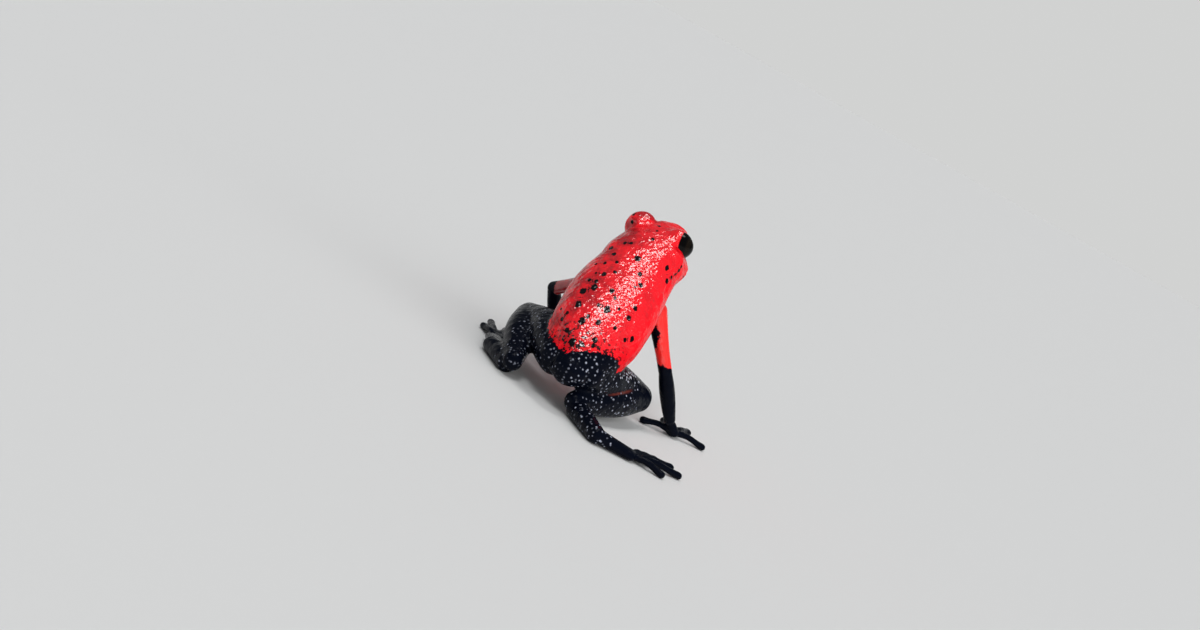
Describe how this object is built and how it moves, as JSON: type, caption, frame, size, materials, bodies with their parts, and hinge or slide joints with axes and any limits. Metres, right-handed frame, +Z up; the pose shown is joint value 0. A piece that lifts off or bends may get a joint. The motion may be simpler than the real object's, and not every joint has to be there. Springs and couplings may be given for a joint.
{
  "type": "strawberry poison dart frog",
  "caption": "Still life-size model of a strawberry poison dart frog sitting up on spread hands and folded hind legs, scarlet body with black limbs.",
  "frame": {"origin": "on the floor, under the middle of the whole frog seen from above", "axes": "+Z up; the frog faces about -Y, turned a little to its left, and its left side is +X"},
  "size_m": [0.0236, 0.0212, 0.0154],
  "materials": {
    "scarlet_skin": "wet glossy scarlet skin with small black spots",
    "black_skin": "moist blue-black skin, finely granular on the hind legs",
    "eye": "clear wet gloss over a black iris"
  },
  "bodies": {
    "root": {"torso": "scarlet_skin", "head": "scarlet_skin", "eye_left": "eye", "eye_right": "eye", "upper_arm_left": "scarlet_skin", "upper_arm_right": "scarlet_skin", "forearm_left": "black_skin", "forearm_right": "black_skin", "hand_left": "black_skin", "hand_right": "black_skin", "thigh_left": "black_skin", "thigh_right": "black_skin", "shank_left": "black_skin", "shank_right": "black_skin", "tarsus_left": "black_skin", "tarsus_right": "black_skin", "foot_left": "black_skin", "foot_right": "black_skin"}
  },
  "joints": []
}
